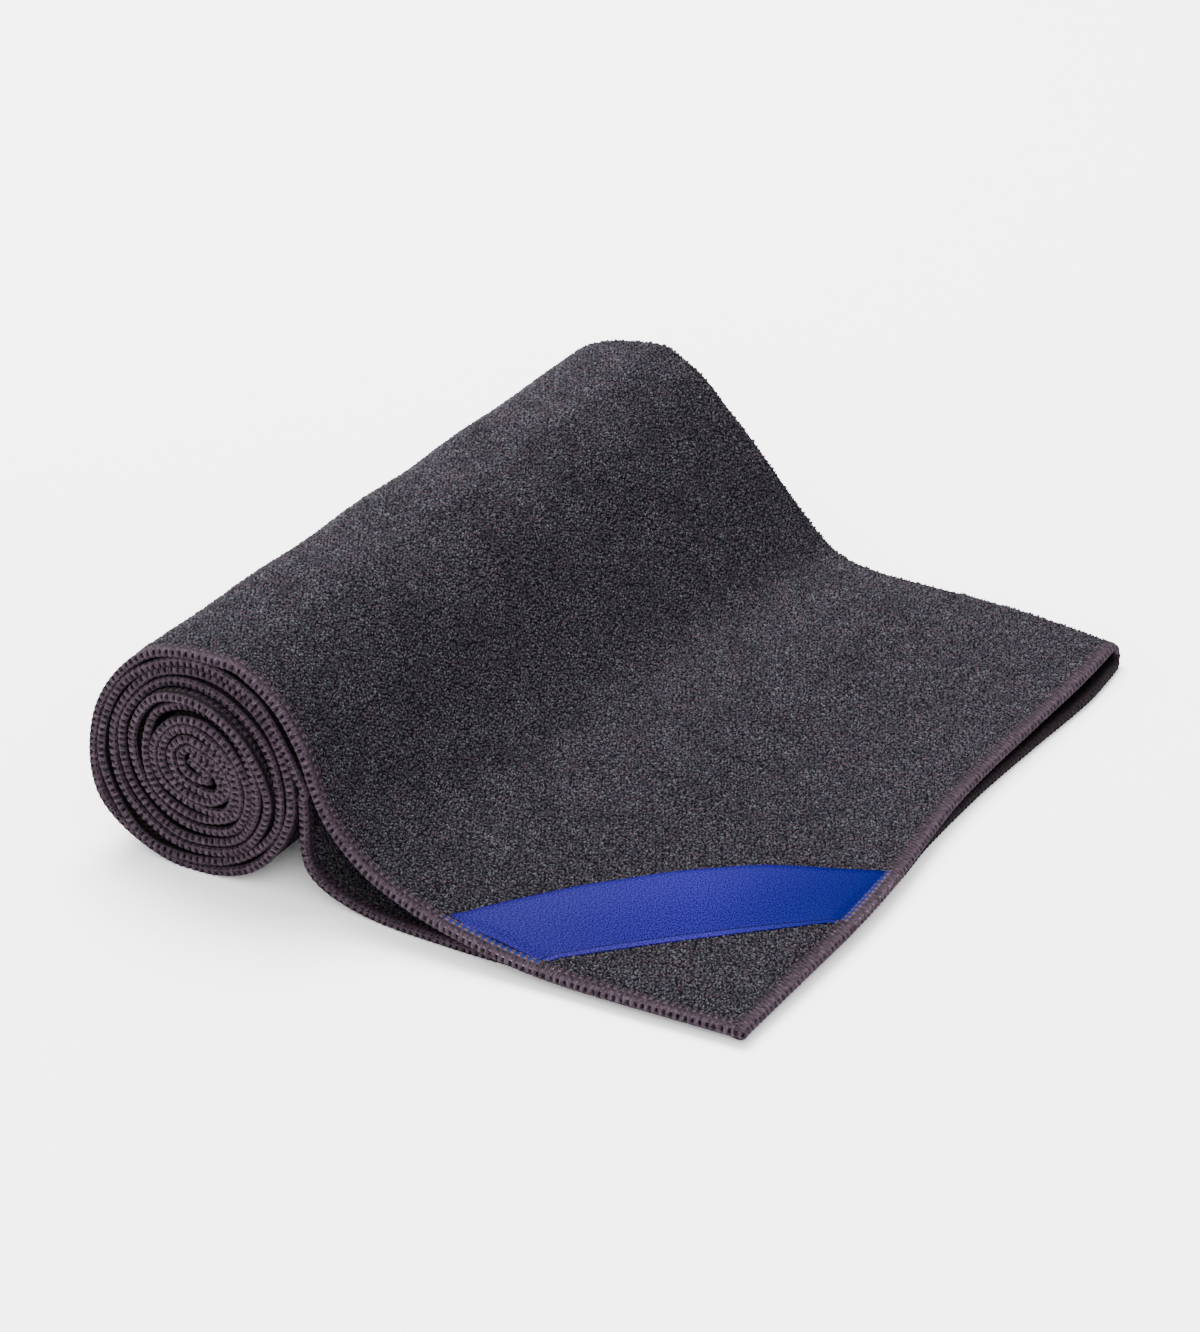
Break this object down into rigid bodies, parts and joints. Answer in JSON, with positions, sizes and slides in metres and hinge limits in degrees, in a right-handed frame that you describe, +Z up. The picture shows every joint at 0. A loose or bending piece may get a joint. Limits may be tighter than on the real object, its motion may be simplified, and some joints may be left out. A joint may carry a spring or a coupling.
{
  "type": "rolled hair towel",
  "caption": "Soft hair towel folded along its length and rolled up, its open end lying flat with a bare ribbon loop sewn across one corner.",
  "frame": {"origin": "under the middle of the whole towel, on the surface it rests on", "axes": "+Z up, +Y along the roll from the serged edges to the fold, +X from the roll towards the open end"},
  "size_m": [0.1994, 0.2444, 0.0661],
  "materials": {
    "terry": "charcoal looped cloth with a fine mottled grain, blue-grey and mauve specks",
    "thread": "mauve-grey overlock thread, wound closely over every cut edge",
    "ribbon": "royal blue satin ribbon with a soft sheen and a fine selvedge line"
  },
  "bodies": {
    "root": {"towel": "terry", "label": "ribbon"}
  },
  "joints": []
}
